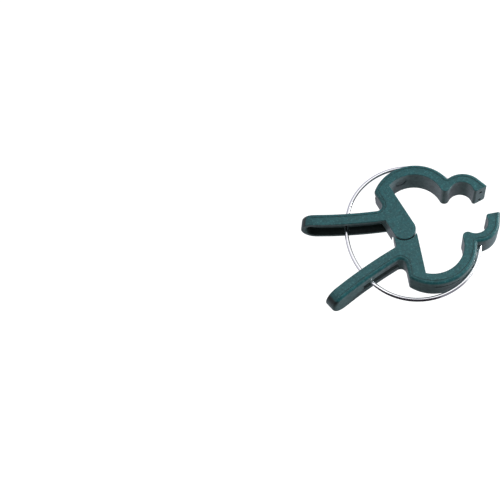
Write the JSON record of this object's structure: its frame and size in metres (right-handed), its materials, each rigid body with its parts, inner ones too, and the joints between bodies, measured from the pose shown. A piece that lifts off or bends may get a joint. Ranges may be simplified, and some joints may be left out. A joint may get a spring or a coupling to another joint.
{
  "type": "orchid clip",
  "caption": "Squeeze clip for plant stems: moulded jaws with a big stem lobe and a small stake lobe, channelled handles, and a bent wire ring that closes them.",
  "frame": {"origin": "on the pivot axis, at the flat back face that the clip lies on", "axes": "+X to the jaw tips, +Y to the upper jaw, +Z along the pivot axis to the front face"},
  "size_m": [0.0579, 0.0466, 0.009],
  "materials": {
    "jaw_plastic": "fine satin moulded, dark teal green",
    "spring_wire": "bright drawn steel wire"
  },
  "bodies": {
    "lower_jaw": {"lower_jaw": "jaw_plastic"},
    "upper_jaw": {"upper_jaw": "jaw_plastic"},
    "spring_ring": {"spring_ring": "spring_wire"}
  },
  "joints": [
    {"name": "jaw_pivot", "type": "hinge", "parent": "lower_jaw", "child": "upper_jaw", "pos_m": [0, 0, 0], "axis": [0, 0, 1], "range_deg": [-19, 20], "stiffness_Nm_per_rad": 0.06, "springref_deg": -34.38, "deforming": ["spring_ring"]},
    {"name": "ring_follow", "type": "hinge", "parent": "lower_jaw", "child": "spring_ring", "pos_m": [0, 0, 0], "axis": [0, 0, 1], "range_deg": [-9.5, 10]}
  ],
  "couplings": [
    {"joint": "ring_follow", "follows": "jaw_pivot", "ratio": 0.5}
  ]
}
